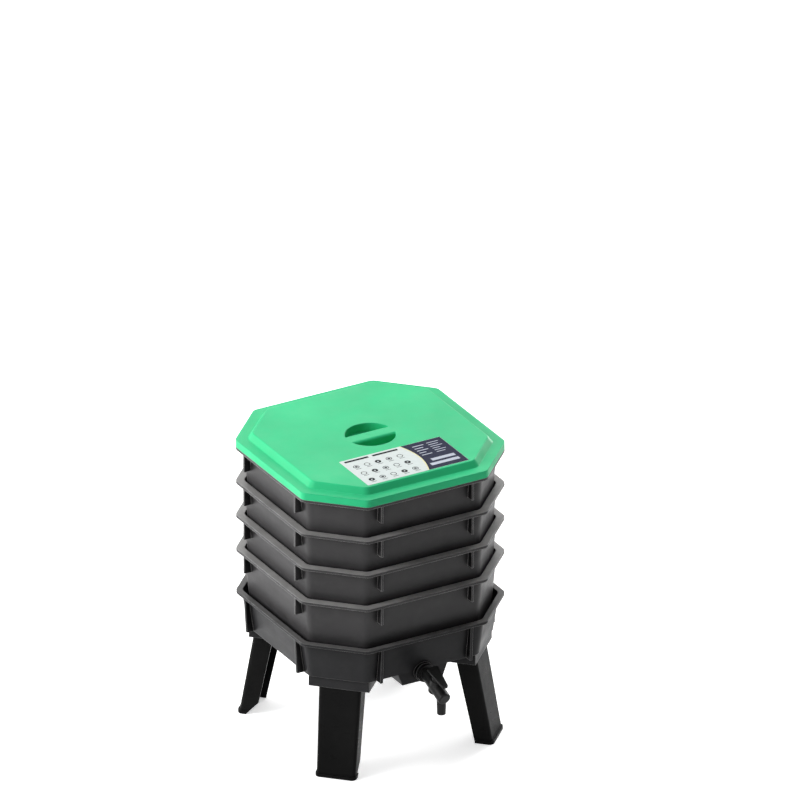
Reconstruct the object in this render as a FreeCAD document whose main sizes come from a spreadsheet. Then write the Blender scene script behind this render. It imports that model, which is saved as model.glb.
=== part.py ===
import FreeCAD, Part
import math
import os

import Sketcher

# Stacking worm composter: a lid, four nesting trays with mesh floors, a guide trough
# and a liquid basin on four push-fit legs, with a drain tap at the front.
# Millimetres, +Z up. The origin is on the ground under the middle of the footprint,
# the tap points to -Y, and the stack stands on an axis a little behind the origin.

SIZES = {
    # Rim shared by the trays, the basin and the lid
    "rim_flats": 400.0,
    "rim_side": 234.0,
    "rim_round": 15.0,
    "rim_overhang": 11.5,
    "rim_plate": 2.5,
    "lip_drop": 5.0,
    "lip_wall": 2.0,
    # Tray
    "tray_height": 130.0,
    "tray_lean": 12.0,
    "tray_wall": 2.5,
    "tray_round": 18.0,
    "nest_depth": 65.0,
    "ledge_width": 8.0,
    "ledge_length": 160.0,
    "ledge_plate": 2.5,
    "gusset_reach": 10.5,
    "gusset_drop": 37.0,
    "gusset_plate": 4.0,
    "gusset_place": 89.0,
    # Mesh floor of a tray
    "floor_plate": 2.5,
    "floor_border": 10.0,
    "floor_round": 8.0,
    "mesh_bar": 7.0,
    "mesh_rows": 9,
    # Lid
    "lid_skirt": 11.0,
    "lid_wall": 2.5,
    "lid_brim": 19.0,
    "lid_step_run": 8.0,
    "lid_step_rise": 11.0,
    "lid_crown_round": 2.0,
    "spigot_drop": 8.0,
    "spigot_gap": 2.0,
    "grip_radius": 44.0,
    "grip_sink": 16.0,
    "grip_bar": 28.0,
    "grip_round": 5.0,
    # Label film on the lid
    "label_length": 198.0,
    "label_width": 102.0,
    "label_film": 0.4,
    "label_margin": 5.0,
    # Guide trough
    "guide_gap": 1.5,
    "guide_rise": 18.0,
    "guide_wall": 2.5,
    "guide_band": 48.0,
    "guide_slope": 25.0,
    "guide_round": 12.0,
    "guide_drain": 4.0,
    "guide_drain_ring": 45.0,
    # Liquid basin
    "basin_height": 70.0,
    "basin_overhang": 8.0,
    "basin_lean": 10.0,
    "basin_wall": 2.5,
    "basin_floor": 3.0,
    "rib_reach": 13.0,
    "rib_plate": 5.0,
    "rib_place": 88.0,
    # Sump and tap boss of the basin
    "sump_drop": 22.0,
    "sump_mouth": 98.0,
    "sump_foot": 80.0,
    "sump_back": 74.0,
    "sump_rake": 5.0,
    "boss_radius": 17.5,
    "boss_face": 190.0,
    "boss_seat": 175.0,
    "boss_below_floor": 3.0,
    # Legs and their sockets
    "leg_length": 180.0,
    "leg_reach": 227.0,
    "leg_splay": 10.0,
    "leg_top_width": 76.0,
    "leg_foot_width": 69.0,
    "leg_top_depth": 37.0,
    "leg_foot_depth": 31.0,
    "leg_wall": 3.0,
    "leg_round": 7.0,
    "bead_reach": 2.0,
    "bead_rise": 6.0,
    "notch_width": 17.0,
    "notch_rise": 30.0,
    "socket_drop": 20.0,
    "socket_width": 108.0,
    "socket_wall": 3.0,
    "socket_gap": 0.3,
    # Tap
    "tap_reach": 263.0,
    "tap_gap": 0.3,
    "shank_radius": 10.0,
    "shank_length": 35.0,
    "flow_radius": 5.5,
    "washer_radius": 15.0,
    "washer_plate": 2.0,
    "nut_radius": 15.0,
    "nut_length": 10.0,
    "collar_radius": 16.0,
    "collar_plate": 4.0,
    "elbow_step": 2.0,
    "barrel_radius": 11.5,
    "barrel_droop": 20.0,
    "barrel_round": 3.0,
    "valve_place": 30.0,
    "valve_radius": 11.0,
    "valve_rise": 16.0,
    "valve_fall": 11.0,
    "plug_radius": 7.0,
    "plug_fall": 9.0,
    "plug_gap": 0.05,
    "port_radius": 4.5,
    "spout_place": 52.0,
    "spout_radius": 8.5,
    "spout_mouth": 7.5,
    "spout_drop": 36.0,
    # Tap lever
    "stem_radius": 9.5,
    "stem_rise": 6.0,
    "lever_reach": 29.0,
    "lever_back": 22.0,
    "lever_width": 22.0,
    "lever_tip": 10.0,
    "lever_plate": 4.0,
    "lever_round": 3.0,
}

TRAY_COUNT = 4
LEG_TURNS = {"front_left": -135, "front_right": -45, "rear_right": 45, "rear_left": 135}

doc = FreeCAD.newDocument("Wormery")
sheet = doc.addObject("Spreadsheet::Sheet", "Sizes")
for row, (word, number) in enumerate(SIZES.items(), start=1):
    sheet.set(f"A{row}", word)
    sheet.set(f"B{row}", str(number))
    sheet.setAlias(f"B{row}", word)
doc.recompute()


def size(text):
    """Work out an expression in which @word stands for the sheet's cell of that name."""
    return float(sheet.evalExpression(text.replace("@", "")))


def bind(thing, prop, text):
    """Bind a property to an expression in which @word stands for a cell."""
    thing.setExpression(prop, text.replace("@", "Sizes."))


# Expressions that several pieces share. Heights are over the ground.

RIM_HALF = "(@rim_flats / 2)"
STACK_Y = f"((@tap_reach - {RIM_HALF}) / 2)"
WALL_TOP = f"({RIM_HALF} - @rim_overhang)"
TRAY_FOOT = f"({WALL_TOP} - @tray_lean)"
OPENING_HALF = f"({TRAY_FOOT} - @tray_wall - @floor_border)"
TRAY_PITCH = "(@tray_height - @nest_depth)"
BASIN_TOP = f"({RIM_HALF} - @basin_overhang)"
BASIN_FOOT = f"({BASIN_TOP} - @basin_lean)"
BASIN_FLOOR_LEVEL = "(@leg_length + @basin_floor)"
GUIDE_HALF = f"({BASIN_FOOT} - @basin_wall - @guide_gap)"
GUIDE_MOUTH = f"({GUIDE_HALF} - @guide_band)"
LOWEST_TRAY_LEVEL = f"({BASIN_FLOOR_LEVEL} + @guide_rise)"
BRIM_TOP = "(@lid_skirt + @lid_wall)"
CROWN_LEVEL = f"({BRIM_TOP} + @lid_step_rise)"
STEP_HALF = f"({RIM_HALF} - @lid_brim)"
CROWN_HALF = f"({STEP_HALF} - @lid_step_run)"
LEG_TOP_REACH = "(@leg_reach - @leg_length * tan(@leg_splay * 1 deg))"
TAP_LEVEL = "(@leg_length - @boss_below_floor)"
ELBOW = "(@washer_plate + @collar_plate + @elbow_step)"
DROOP = "(@barrel_droop * 1 deg)"
BARREL_LENGTH = (
    f"((@tap_reach - @boss_face - {ELBOW}) / cos({DROOP}) - @barrel_radius * tan({DROOP}))"
)


def side_at(half):
    """Half length of the long sides of an outline that lies inside the rim's outline."""
    return f"(@rim_side / 2 - ({RIM_HALF} - {half}) * tan(22.5 deg))"


def tray_face(depth):
    """Half width over a tray's outer faces at a depth below its rim."""
    return f"({WALL_TOP} - @tray_lean * ({depth}) / @tray_height)"


def tray_level(number):
    """Height of the underside of a tray, where tray 1 is the highest."""
    return f"({LOWEST_TRAY_LEVEL} + {TRAY_COUNT - number} * {TRAY_PITCH})"


# Bodies, sketches and features

def new_body(label):
    """Make an empty body with the label of its node."""
    body = doc.addObject("PartDesign::Body", label)
    body.Label = label
    return body


def place(thing, level, y=STACK_Y, x="0"):
    """Bind the position of a piece in the frame."""
    bind(thing, "Placement.Base.x", x)
    bind(thing, "Placement.Base.y", y)
    bind(thing, "Placement.Base.z", level)


def origin_part(body, role):
    """Find an origin plane or axis of a body."""
    return [part for part in body.Origin.OriginFeatures if part.Role == role][0]


def new_sketch(body, name, plane="XY_Plane", level="0", shift="0"):
    """Attach a sketch to an origin plane, moved along its normal and its own Y axis."""
    sketch = body.newObject("Sketcher::SketchObject", name)
    sketch.AttachmentSupport = [(origin_part(body, plane), "")]
    sketch.MapMode = "FlatFace"
    bind(sketch, "AttachmentOffset.Base.y", shift)
    bind(sketch, "AttachmentOffset.Base.z", level)
    return sketch


def turn_sketch(sketch, axis, angle):
    """Turn an attached sketch about an axis of its plane."""
    sketch.AttachmentOffset = FreeCAD.Placement(
        sketch.AttachmentOffset.Base, FreeCAD.Rotation(FreeCAD.Vector(*axis), 1)
    )
    bind(sketch, "AttachmentOffset.Rotation.Angle", angle)


def add_rule(sketch, text, kind, *where):
    """Add a dimension and bind it to an expression."""
    index = sketch.addConstraint(Sketcher.Constraint(kind, *where, size(text)))
    bind(sketch, f"Constraints[{index}]", text)


def pin(sketch, line, end, spot):
    """Dimension one end of a sketch line from the sketch's origin."""
    add_rule(sketch, spot[0], "DistanceX", -1, 1, line, end)
    add_rule(sketch, spot[1], "DistanceY", -1, 1, line, end)


def point(spot):
    """Turn a pair of expressions into a point of the sketch plane."""
    return FreeCAD.Vector(size(spot[0]), size(spot[1]), 0)


def moved(spot, step, distance):
    """Move a pair of expressions by a distance along a level or upright unit step."""
    return (f"{spot[0]} + {step.x:.0f} * {distance}", f"{spot[1]} + {step.y:.0f} * {distance}")


def polygon(sketch, spots, rounds=None):
    """Draw a closed chain of lines. Corners between level and upright lines may be rounded."""
    rounds = rounds or {}
    count = len(spots)
    corners = [point(spot) for spot in spots]
    steps = [(corners[(i + 1) % count] - corners[i]).normalize() for i in range(count)]
    starts = list(spots)
    ends = [spots[(i + 1) % count] for i in range(count)]
    for corner, radius in rounds.items():
        starts[corner] = moved(spots[corner], steps[corner], radius)
        ends[corner - 1] = moved(spots[corner], steps[corner - 1], f"(-{radius})")
    lines = []
    for index in range(count):
        line = Part.LineSegment(point(starts[index]), point(ends[index]))
        lines.append(sketch.addGeometry(line))
        pin(sketch, lines[-1], 1, starts[index])
    for corner, line in enumerate(lines):
        before = lines[corner - 1]
        if corner not in rounds:
            sketch.addConstraint(Sketcher.Constraint("Coincident", before, 2, line, 1))
            continue
        pin(sketch, before, 2, ends[corner - 1])
        left_turn = steps[corner - 1].cross(steps[corner]).z > 0
        arc = add_corner_arc(
            sketch, point(ends[corner - 1]), point(starts[corner]), corners[corner], left_turn
        )
        first, second = (1, 2) if left_turn else (2, 1)
        sketch.addConstraint(Sketcher.Constraint("Coincident", before, 2, arc, first))
        sketch.addConstraint(Sketcher.Constraint("Coincident", arc, second, line, 1))
        add_rule(sketch, rounds[corner], "Radius", arc)


def add_corner_arc(sketch, start, end, corner, left_turn):
    """Add the quarter circle that rounds a square corner between two points."""
    centre = start + end - corner
    low, high = (start, end) if left_turn else (end, start)
    first = math.atan2(low.y - centre.y, low.x - centre.x)
    ring = Part.Circle(centre, FreeCAD.Vector(0, 0, 1), (high - centre).Length)
    return sketch.addGeometry(Part.ArcOfCircle(ring, first, first + math.pi / 2))


def rectangle(sketch, left, right, low, high):
    """Draw a rectangle between two X and two Y expressions."""
    polygon(sketch, [(left, low), (right, low), (right, high), (left, high)])


def circle(sketch, radius, x="0", y="0"):
    """Draw a circle."""
    ring = sketch.addGeometry(Part.Circle(point((x, y)), FreeCAD.Vector(0, 0, 1), size(radius)))
    pin(sketch, ring, 3, (x, y))
    add_rule(sketch, radius, "Radius", ring)


def octagon_ends(half, radius):
    """Ends of the eight straight sides of a rounded rim outline, counterclockwise."""
    side = side_at(half)
    cut = f"({radius} * tan(22.5 deg))"
    near = f"({side} + {cut} * cos(45 deg))"
    far = f"({half} - {cut} * cos(45 deg))"
    quadrant = (
        (f"({cut} - {side})", f"(-{half})"),
        (f"({side} - {cut})", f"(-{half})"),
        (near, f"(-{far})"),
        (far, f"(-{near})"),
    )
    ends = []
    for cosine, sine in ((1, 0), (0, 1), (-1, 0), (0, -1)):
        for x, y in quadrant:
            ends.append((f"{cosine} * {x} - {sine} * {y}", f"{sine} * {x} + {cosine} * {y}"))
    return ends


def octagon_arc(start, radius, corner):
    """Rounded corner of a rim outline that follows its straight side of that number."""
    first = math.radians(45 * corner - 90)
    centre = start - FreeCAD.Vector(math.cos(first), math.sin(first), 0) * radius
    ring = Part.Circle(centre, FreeCAD.Vector(0, 0, 1), radius)
    return Part.ArcOfCircle(ring, first, first + math.radians(45))


def octagon(sketch, half, radius):
    """Draw the rounded octagon of the rim, set in to a half width."""
    ends = octagon_ends(half, radius)
    lines = []
    for corner in range(8):
        first, second = ends[2 * corner], ends[2 * corner + 1]
        lines.append(sketch.addGeometry(Part.LineSegment(point(first), point(second))))
        pin(sketch, lines[-1], 1, first)
        pin(sketch, lines[-1], 2, second)
    for corner, line in enumerate(lines):
        arc = sketch.addGeometry(octagon_arc(point(ends[2 * corner + 1]), size(radius), corner))
        following = lines[(corner + 1) % 8]
        sketch.addConstraint(Sketcher.Constraint("Coincident", line, 2, arc, 1))
        sketch.addConstraint(Sketcher.Constraint("Coincident", arc, 2, following, 1))
        add_rule(sketch, radius, "Radius", arc)


def add_pad(body, name, sketch, length, down=False):
    """Pad a sketch along its normal, or against it."""
    pad = body.newObject("PartDesign::Pad", name)
    pad.Profile = sketch
    pad.Reversed = down
    bind(pad, "Length", length)
    return pad


def add_pocket(body, name, sketch, length, up=False):
    """Cut a sketch against its normal, or along it."""
    pocket = body.newObject("PartDesign::Pocket", name)
    pocket.Profile = sketch
    pocket.Reversed = up
    bind(pocket, "Length", length)
    return pocket


def add_plate(body, name, sketch, thickness):
    """Pad a sketch by half its thickness to both sides."""
    pad = add_pad(body, name, sketch, thickness)
    pad.Midplane = True
    return pad


def add_loft(body, name, first, second, cut=False):
    """Join two sketches by straight sided walls, as a solid or as a cut."""
    kind = "PartDesign::SubtractiveLoft" if cut else "PartDesign::AdditiveLoft"
    loft = body.newObject(kind, name)
    loft.Profile = first
    loft.Sections = [second]
    loft.Ruled = True
    return loft


def add_ring(body, name, features, count):
    """Repeat features evenly about the body's Z axis."""
    ring = body.newObject("PartDesign::PolarPattern", name)
    ring.Originals = features
    ring.Axis = (origin_part(body, "Z_Axis"), [""])
    ring.Angle = 360
    ring.Occurrences = count
    body.Tip = ring
    return ring


def add_fillet(body, name, feature, radius, test):
    """Round the edges of a feature whose middle points pass a test."""
    doc.recompute()
    names = []
    for index, edge in enumerate(feature.Shape.Edges, start=1):
        middle = edge.valueAt((edge.FirstParameter + edge.LastParameter) / 2)
        if test(edge, middle):
            names.append(f"Edge{index}")
    fillet = body.newObject("PartDesign::Fillet", name)
    fillet.Base = (feature, names)
    bind(fillet, "Radius", radius)
    return fillet


def near(value, text):
    """Tell whether a number equals an expression."""
    return abs(value - size(text)) < 0.01


# Features shared by the trays and the basin

def add_walls(body, foot_half, top_half, top_level, lean_round):
    """Solid block inside the outer faces of leaning walls."""
    foot = new_sketch(body, "wall_foot")
    octagon(foot, foot_half, lean_round)
    head = new_sketch(body, "wall_head", level=top_level)
    octagon(head, top_half, lean_round)
    add_loft(body, "walls", foot, head)


def add_rim(body, top_level):
    """Flat flange with a lip turned down at its edge."""
    flange = new_sketch(body, "flange_outline", level=top_level)
    octagon(flange, RIM_HALF, "@rim_round")
    add_pad(body, "flange", flange, "@rim_plate", down=True)
    lip = new_sketch(body, "lip_outline", level=top_level)
    octagon(lip, RIM_HALF, "@rim_round")
    octagon(lip, f"({RIM_HALF} - @lip_wall)", "(@rim_round - @lip_wall)")
    add_pad(body, "lip", lip, "@lip_drop", down=True)


def add_cavity(body, floor_half, floor_level, top_half, top_level, corner):
    """Hollow out the space between the walls above the floor."""
    floor = new_sketch(body, "cavity_floor", level=floor_level)
    octagon(floor, floor_half, corner)
    mouth = new_sketch(body, "cavity_mouth", level=top_level)
    octagon(mouth, top_half, corner)
    add_loft(body, "cavity", floor, mouth, cut=True)


def add_upright_plates(body, name, spots, distance, thickness):
    """Two equal plates to the left and right of the middle of each of the four sides."""
    plates = []
    for sign in ("-", ""):
        sketch = new_sketch(body, f"{name}_profile", "YZ_Plane", f"{sign}{distance}")
        polygon(sketch, spots)
        plates.append(add_plate(body, name, sketch, thickness))
    add_ring(body, f"{name}_ring", plates, 4)


# Trays

def make_tray(number):
    """One tray without its mesh floor."""
    body = new_body(f"tray_{number}")
    rim = "@tray_height"
    inner_round = "(@tray_round - @tray_wall)"
    add_walls(body, TRAY_FOOT, WALL_TOP, rim, "@tray_round")
    add_rim(body, rim)
    floor_face = tray_face("@tray_height - @floor_plate")
    add_cavity(
        body,
        f"({floor_face} - @tray_wall)",
        "@floor_plate",
        f"({WALL_TOP} - @tray_wall)",
        rim,
        inner_round,
    )
    opening = new_sketch(body, "floor_opening")
    octagon(opening, OPENING_HALF, "@floor_round")
    add_pocket(body, "floor_cut", opening, "@floor_plate", up=True)

    # Gusset plates hang under the flange, from the middle of the wall to the lip
    plate_top = f"({rim} - @rim_plate / 2)"
    plate_foot = f"({rim} - @gusset_drop)"
    gusset = [
        (f"(@tray_wall / 2 - {WALL_TOP})", plate_top),
        (f"(-{WALL_TOP} - @gusset_reach)", plate_top),
        (f"(-{WALL_TOP} - @gusset_reach)", plate_foot),
        (f"(@tray_wall / 2 - {tray_face('@gusset_drop')})", plate_foot),
    ]
    add_upright_plates(body, "gusset", gusset, "@gusset_place", "@gusset_plate")

    # The next tray stands on ledges inside the long walls
    shelf = f"({rim} - @nest_depth)"
    shelf_edge = f"({tray_face('@nest_depth')} - @tray_wall - @ledge_width)"
    brace_depth = "(@nest_depth + @ledge_plate + @ledge_width)"
    ledge = [
        (f"(-{tray_face('@nest_depth')} + @tray_wall / 2)", shelf),
        (f"(-{shelf_edge})", shelf),
        (f"(-{shelf_edge})", f"({shelf} - @ledge_plate)"),
        (f"(@tray_wall / 2 - {tray_face(brace_depth)})", f"({rim} - {brace_depth})"),
    ]
    sketch = new_sketch(body, "ledge_profile", "YZ_Plane")
    polygon(sketch, ledge)
    plate = add_plate(body, "ledge", sketch, "@ledge_length")
    add_ring(body, "ledge_ring", [plate], 4)
    place(body, tray_level(number))
    return body


def make_mesh_floor(number):
    """Holed plate that closes the floor opening of a tray, in square meshes."""
    ends = octagon_ends(OPENING_HALF, "@floor_round")
    radius = size("@floor_round")
    edges = []
    for corner in range(8):
        start, end = point(ends[2 * corner]), point(ends[2 * corner + 1])
        edges.append(Part.LineSegment(start, end).toShape())
        edges.append(octagon_arc(end, radius, corner).toShape())
    wires = [Part.Wire(edges)]

    half, bar, rows = size(OPENING_HALF), size("@mesh_bar"), round(size("@mesh_rows"))
    pitch = (2 * half - bar) / rows
    gap = pitch - bar
    corner_limit = half + size(side_at(OPENING_HALF)) - bar * math.sqrt(2)
    for column in range(rows):
        for line in range(rows):
            x = -half + bar + column * pitch
            y = -half + bar + line * pitch
            if max(abs(x), abs(x + gap)) + max(abs(y), abs(y + gap)) > corner_limit:
                continue
            square = [(x, y), (x, y + gap), (x + gap, y + gap), (x + gap, y), (x, y)]
            wires.append(Part.makePolygon([FreeCAD.Vector(a, b, 0) for a, b in square]))
    face = Part.makeFace(wires, "Part::FaceMakerBullseye")
    floor = doc.addObject("Part::Feature", f"tray_{number}_mesh_floor")
    floor.Label = f"tray_{number}_mesh_floor"
    floor.Shape = face.extrude(FreeCAD.Vector(0, 0, size("@floor_plate")))
    place(floor, tray_level(number))
    return floor


# Lid

def make_lid():
    """Hollow lid: skirt, brim, raised crown, locating spigot and hand recess with a bar."""
    body = new_body("lid")
    outline = new_sketch(body, "brim_outline")
    octagon(outline, RIM_HALF, "@rim_round")
    add_pad(body, "brim", outline, BRIM_TOP)
    step = new_sketch(body, "step_outline", level=BRIM_TOP)
    octagon(step, STEP_HALF, "@tray_round")
    crown = new_sketch(body, "crown_outline", level=CROWN_LEVEL)
    octagon(crown, CROWN_HALF, "@tray_round")
    raised = add_loft(body, "crown", step, crown)
    add_fillet(
        body,
        "crown_round",
        raised,
        "@lid_crown_round",
        lambda edge, middle: near(edge.BoundBox.ZMin, CROWN_LEVEL),
    )

    under = new_sketch(body, "skirt_inside")
    octagon(under, f"({RIM_HALF} - @lid_wall)", "(@rim_round - @lid_wall)")
    add_pocket(body, "skirt_cut", under, "@lid_skirt", up=True)
    inner_step = new_sketch(body, "step_inside", level="@lid_skirt")
    octagon(inner_step, f"({STEP_HALF} - @lid_wall)", "(@tray_round - @lid_wall)")
    inner_crown = new_sketch(body, "crown_inside", level=f"({CROWN_LEVEL} - @lid_wall)")
    octagon(inner_crown, f"({CROWN_HALF} - @lid_wall)", "(@tray_round - @lid_wall)")
    add_loft(body, "crown_cut", inner_step, inner_crown, cut=True)

    # The spigot drops inside the mouth of the highest tray
    spigot_half = f"({WALL_TOP} - @tray_wall - @spigot_gap)"
    spigot = new_sketch(body, "spigot_outline", level="(-@spigot_drop)")
    octagon(spigot, spigot_half, "(@tray_round - @tray_wall)")
    octagon(spigot, f"({spigot_half} - @lid_wall)", "(@tray_round - @tray_wall - @lid_wall)")
    add_pad(body, "spigot", spigot, "(@spigot_drop + @lid_skirt + @lid_wall / 2)")

    # Round hand recess in the crown, crossed by a hollow grip bar
    sink_level = f"({CROWN_LEVEL} - @grip_sink - @lid_wall)"
    well = new_sketch(body, "well_outline", level=sink_level)
    circle(well, "(@grip_radius + @lid_wall)")
    add_pad(body, "well", well, "(@grip_sink + @lid_wall / 2)")
    recess = new_sketch(body, "recess_outline", level=CROWN_LEVEL)
    circle(recess, "@grip_radius")
    add_pocket(body, "recess", recess, "@grip_sink")
    bar_sketch = new_sketch(body, "bar_outline", level=sink_level)
    rectangle(
        bar_sketch,
        "(-@grip_radius - @lid_wall / 2)",
        "(@grip_radius + @lid_wall / 2)",
        "(-@grip_bar / 2)",
        "(@grip_bar / 2)",
    )
    bar = add_pad(body, "grip_bar", bar_sketch, "(@grip_sink + @lid_wall)")
    rounded = add_fillet(
        body,
        "grip_round",
        bar,
        "@grip_round",
        lambda edge, middle: near(edge.BoundBox.ZMin, CROWN_LEVEL)
        and near(abs(middle.y), "@grip_bar / 2")
        and abs(middle.x) < size("@grip_radius"),
    )
    core = new_sketch(body, "bar_inside", level=sink_level)
    rectangle(
        core,
        "(@lid_wall - @grip_radius)",
        "(@grip_radius - @lid_wall)",
        "(@lid_wall - @grip_bar / 2)",
        "(@grip_bar / 2 - @lid_wall)",
    )
    add_pocket(body, "bar_cut", core, "(@grip_sink - @lid_wall)", up=True)
    place(body, f"({tray_level(1)} + @tray_height)")
    return body


def make_label():
    """Thin film on the front half of the lid's crown."""
    body = new_body("lid_label")
    front = f"(@label_margin - {CROWN_HALF})"
    outline = new_sketch(body, "label_outline", level=CROWN_LEVEL)
    rectangle(
        outline, "(-@label_length / 2)", "(@label_length / 2)", front, f"({front} + @label_width)"
    )
    add_pad(body, "film", outline, "@label_film")
    place(body, f"({tray_level(1)} + @tray_height)")
    return body


# Guide trough

def make_guide():
    """Flat band round a sunken floor with drain holes."""
    body = new_body("guide_trough")
    sunk_half = f"({GUIDE_MOUTH} - @guide_slope)"
    foot = new_sketch(body, "sunk_foot")
    octagon(foot, f"({sunk_half} + @guide_wall)", "@guide_round")
    head = new_sketch(body, "sunk_head", level="@guide_rise")
    octagon(head, f"({GUIDE_MOUTH} + 2 * @guide_wall)", "@guide_round")
    add_loft(body, "sunk_walls", foot, head)
    band = new_sketch(body, "band_outline", level="@guide_rise")
    octagon(band, GUIDE_HALF, "@tray_round")
    add_pad(body, "band", band, "@guide_wall", down=True)
    floor = new_sketch(body, "trough_floor", level="@guide_wall")
    octagon(floor, sunk_half, "@guide_round")
    mouth = new_sketch(body, "trough_mouth", level="@guide_rise")
    octagon(mouth, GUIDE_MOUTH, "@guide_round")
    add_loft(body, "trough", floor, mouth, cut=True)
    drain = new_sketch(body, "drain_outline")
    circle(drain, "@guide_drain", "@guide_drain_ring")
    hole = add_pocket(body, "drain", drain, "@guide_wall", up=True)
    add_ring(body, "drain_ring", [hole], 6)
    place(body, BASIN_FLOOR_LEVEL)
    return body


# Basin with its sump, tap boss and leg sockets

def leg_slot(sketch, reach, gap):
    """Draw the rectangle round the top of a leg, with a gap on every side."""
    rectangle(
        sketch,
        f"({reach} - @leg_top_depth - {gap})",
        f"({reach} + {gap})",
        f"(-@leg_top_width / 2 - {gap})",
        f"(@leg_top_width / 2 + {gap})",
    )


def add_sockets(body):
    """Hollow blocks under the corner faces, with slots along the splay of the legs."""
    corner = ((0, 0, 1), "-45 deg")
    mouth_reach = f"({LEG_TOP_REACH} + @socket_drop * tan(@leg_splay * 1 deg))"
    outer = f"({mouth_reach} + @socket_gap + @socket_wall)"
    inner = f"({LEG_TOP_REACH} - @leg_top_depth - @socket_gap - @socket_wall)"
    block = new_sketch(body, "socket_outline", level="@basin_floor / 2")
    turn_sketch(block, *corner)
    rectangle(block, inner, outer, "(-@socket_width / 2)", "(@socket_width / 2)")
    solid = add_pad(body, "socket", block, "(@socket_drop + @basin_floor / 2)", down=True)

    mouth = new_sketch(body, "slot_mouth", level="(-@socket_drop)")
    turn_sketch(mouth, *corner)
    leg_slot(mouth, mouth_reach, "@socket_gap")
    roof = new_sketch(body, "slot_roof")
    turn_sketch(roof, *corner)
    leg_slot(roof, LEG_TOP_REACH, "@socket_gap")
    slot = add_loft(body, "slot", mouth, roof, cut=True)

    # Hollows at both ends keep the block's walls thin
    cores = new_sketch(body, "socket_cores", level="(-@socket_drop)")
    turn_sketch(cores, *corner)
    low = "(@leg_top_width / 2 + @socket_gap + @socket_wall)"
    high = "(@socket_width / 2 - @socket_wall)"
    for start, end in ((low, high), (f"(-{high})", f"(-{low})")):
        rectangle(cores, f"({inner} + @socket_wall)", f"({outer} - @socket_wall)", start, end)
    hollow = add_pocket(body, "socket_hollow", cores, "@socket_drop", up=True)
    add_ring(body, "socket_ring", [solid, slot, hollow], 4)


def sump_box(sketch, half_width, rake, wall):
    """Draw the sump's outline, drawn in by a rake at the back and a wall all round."""
    rectangle(
        sketch,
        f"({wall} - {half_width})",
        f"({half_width} - {wall})",
        f"({wall} - {BASIN_FOOT})",
        f"(-@sump_back - {rake} - {wall})",
    )


def add_sump(body):
    """Well below the basin's floor, behind the front wall."""
    top = new_sketch(body, "sump_top", level="@basin_floor / 2")
    sump_box(top, "@sump_mouth / 2", "0", "0")
    bottom = new_sketch(body, "sump_bottom", level="(-@sump_drop)")
    sump_box(bottom, "@sump_foot / 2", "@sump_rake", "0")
    add_loft(body, "sump", top, bottom)


def hollow_sump(body):
    """Open the sump to the basin."""
    top = new_sketch(body, "sump_inside_top", level="(@basin_floor + @basin_wall)")
    sump_box(top, "@sump_mouth / 2", "0", "@basin_wall")
    bottom = new_sketch(body, "sump_inside_bottom", level="(@basin_floor - @sump_drop)")
    sump_box(bottom, "@sump_foot / 2", "@sump_rake", "@basin_wall")
    add_loft(body, "sump_cut", top, bottom, cut=True)


def make_base():
    """Basin with ribbed walls, sump, tap boss and leg sockets."""
    body = new_body("base")
    rim = "@basin_height"
    add_walls(body, BASIN_FOOT, BASIN_TOP, rim, "@tray_round")
    add_rim(body, rim)
    add_sump(body)
    floor_half = f"({BASIN_FOOT} + @basin_lean * @basin_floor / @basin_height - @basin_wall)"
    mouth_half = f"({BASIN_TOP} - @basin_wall)"
    inner_round = "(@tray_round - @basin_wall)"
    add_cavity(body, floor_half, "@basin_floor", mouth_half, rim, inner_round)
    hollow_sump(body)

    # Ribs run the full height of the long walls
    rib = [
        (f"(@basin_wall / 2 - {BASIN_TOP})", f"({rim} - @rim_plate / 2)"),
        (f"(-{WALL_TOP} - @gusset_reach)", f"({rim} - @rim_plate / 2)"),
        (f"(-{BASIN_FOOT} - @rib_reach)", "0"),
        (f"(@basin_wall / 2 - {BASIN_FOOT})", "0"),
    ]
    add_upright_plates(body, "rib", rib, "@rib_place", "@rib_plate")
    add_sockets(body)

    # The tap boss stands out on both faces of the front wall
    boss = new_sketch(body, "boss_outline", "XZ_Plane", "@boss_seat")
    circle(boss, "@boss_radius", "0", "(-@boss_below_floor)")
    add_pad(body, "boss", boss, "(@boss_face - @boss_seat)")
    hole = new_sketch(body, "boss_hole_outline", "XZ_Plane", "@boss_face")
    circle(hole, "(@shank_radius + @tap_gap)", "0", "(-@boss_below_floor)")
    add_pocket(body, "boss_hole", hole, "(@boss_face - @boss_seat)")
    place(body, "@leg_length")
    return body


# Legs

def channel(sketch, reach, width, depth, bead):
    """Draw the open channel of a leg, thickened outwards by a bead."""
    outside = f"({width} / 2 + {bead})"
    inside = f"({width} / 2 - @leg_wall)"
    free = f"({reach} - {depth})"
    spots = [
        (free, f"(-{outside})"),
        (f"({reach} + {bead})", f"(-{outside})"),
        (f"({reach} + {bead})", outside),
        (free, outside),
        (free, inside),
        (f"({reach} - @leg_wall)", inside),
        (f"({reach} - @leg_wall)", f"(-{inside})"),
        (free, f"(-{inside})"),
    ]
    outer_round = f"(@leg_round + {bead})"
    inner_round = "(@leg_round - @leg_wall)"
    polygon(sketch, spots, {1: outer_round, 2: outer_round, 5: inner_round, 6: inner_round})


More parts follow.
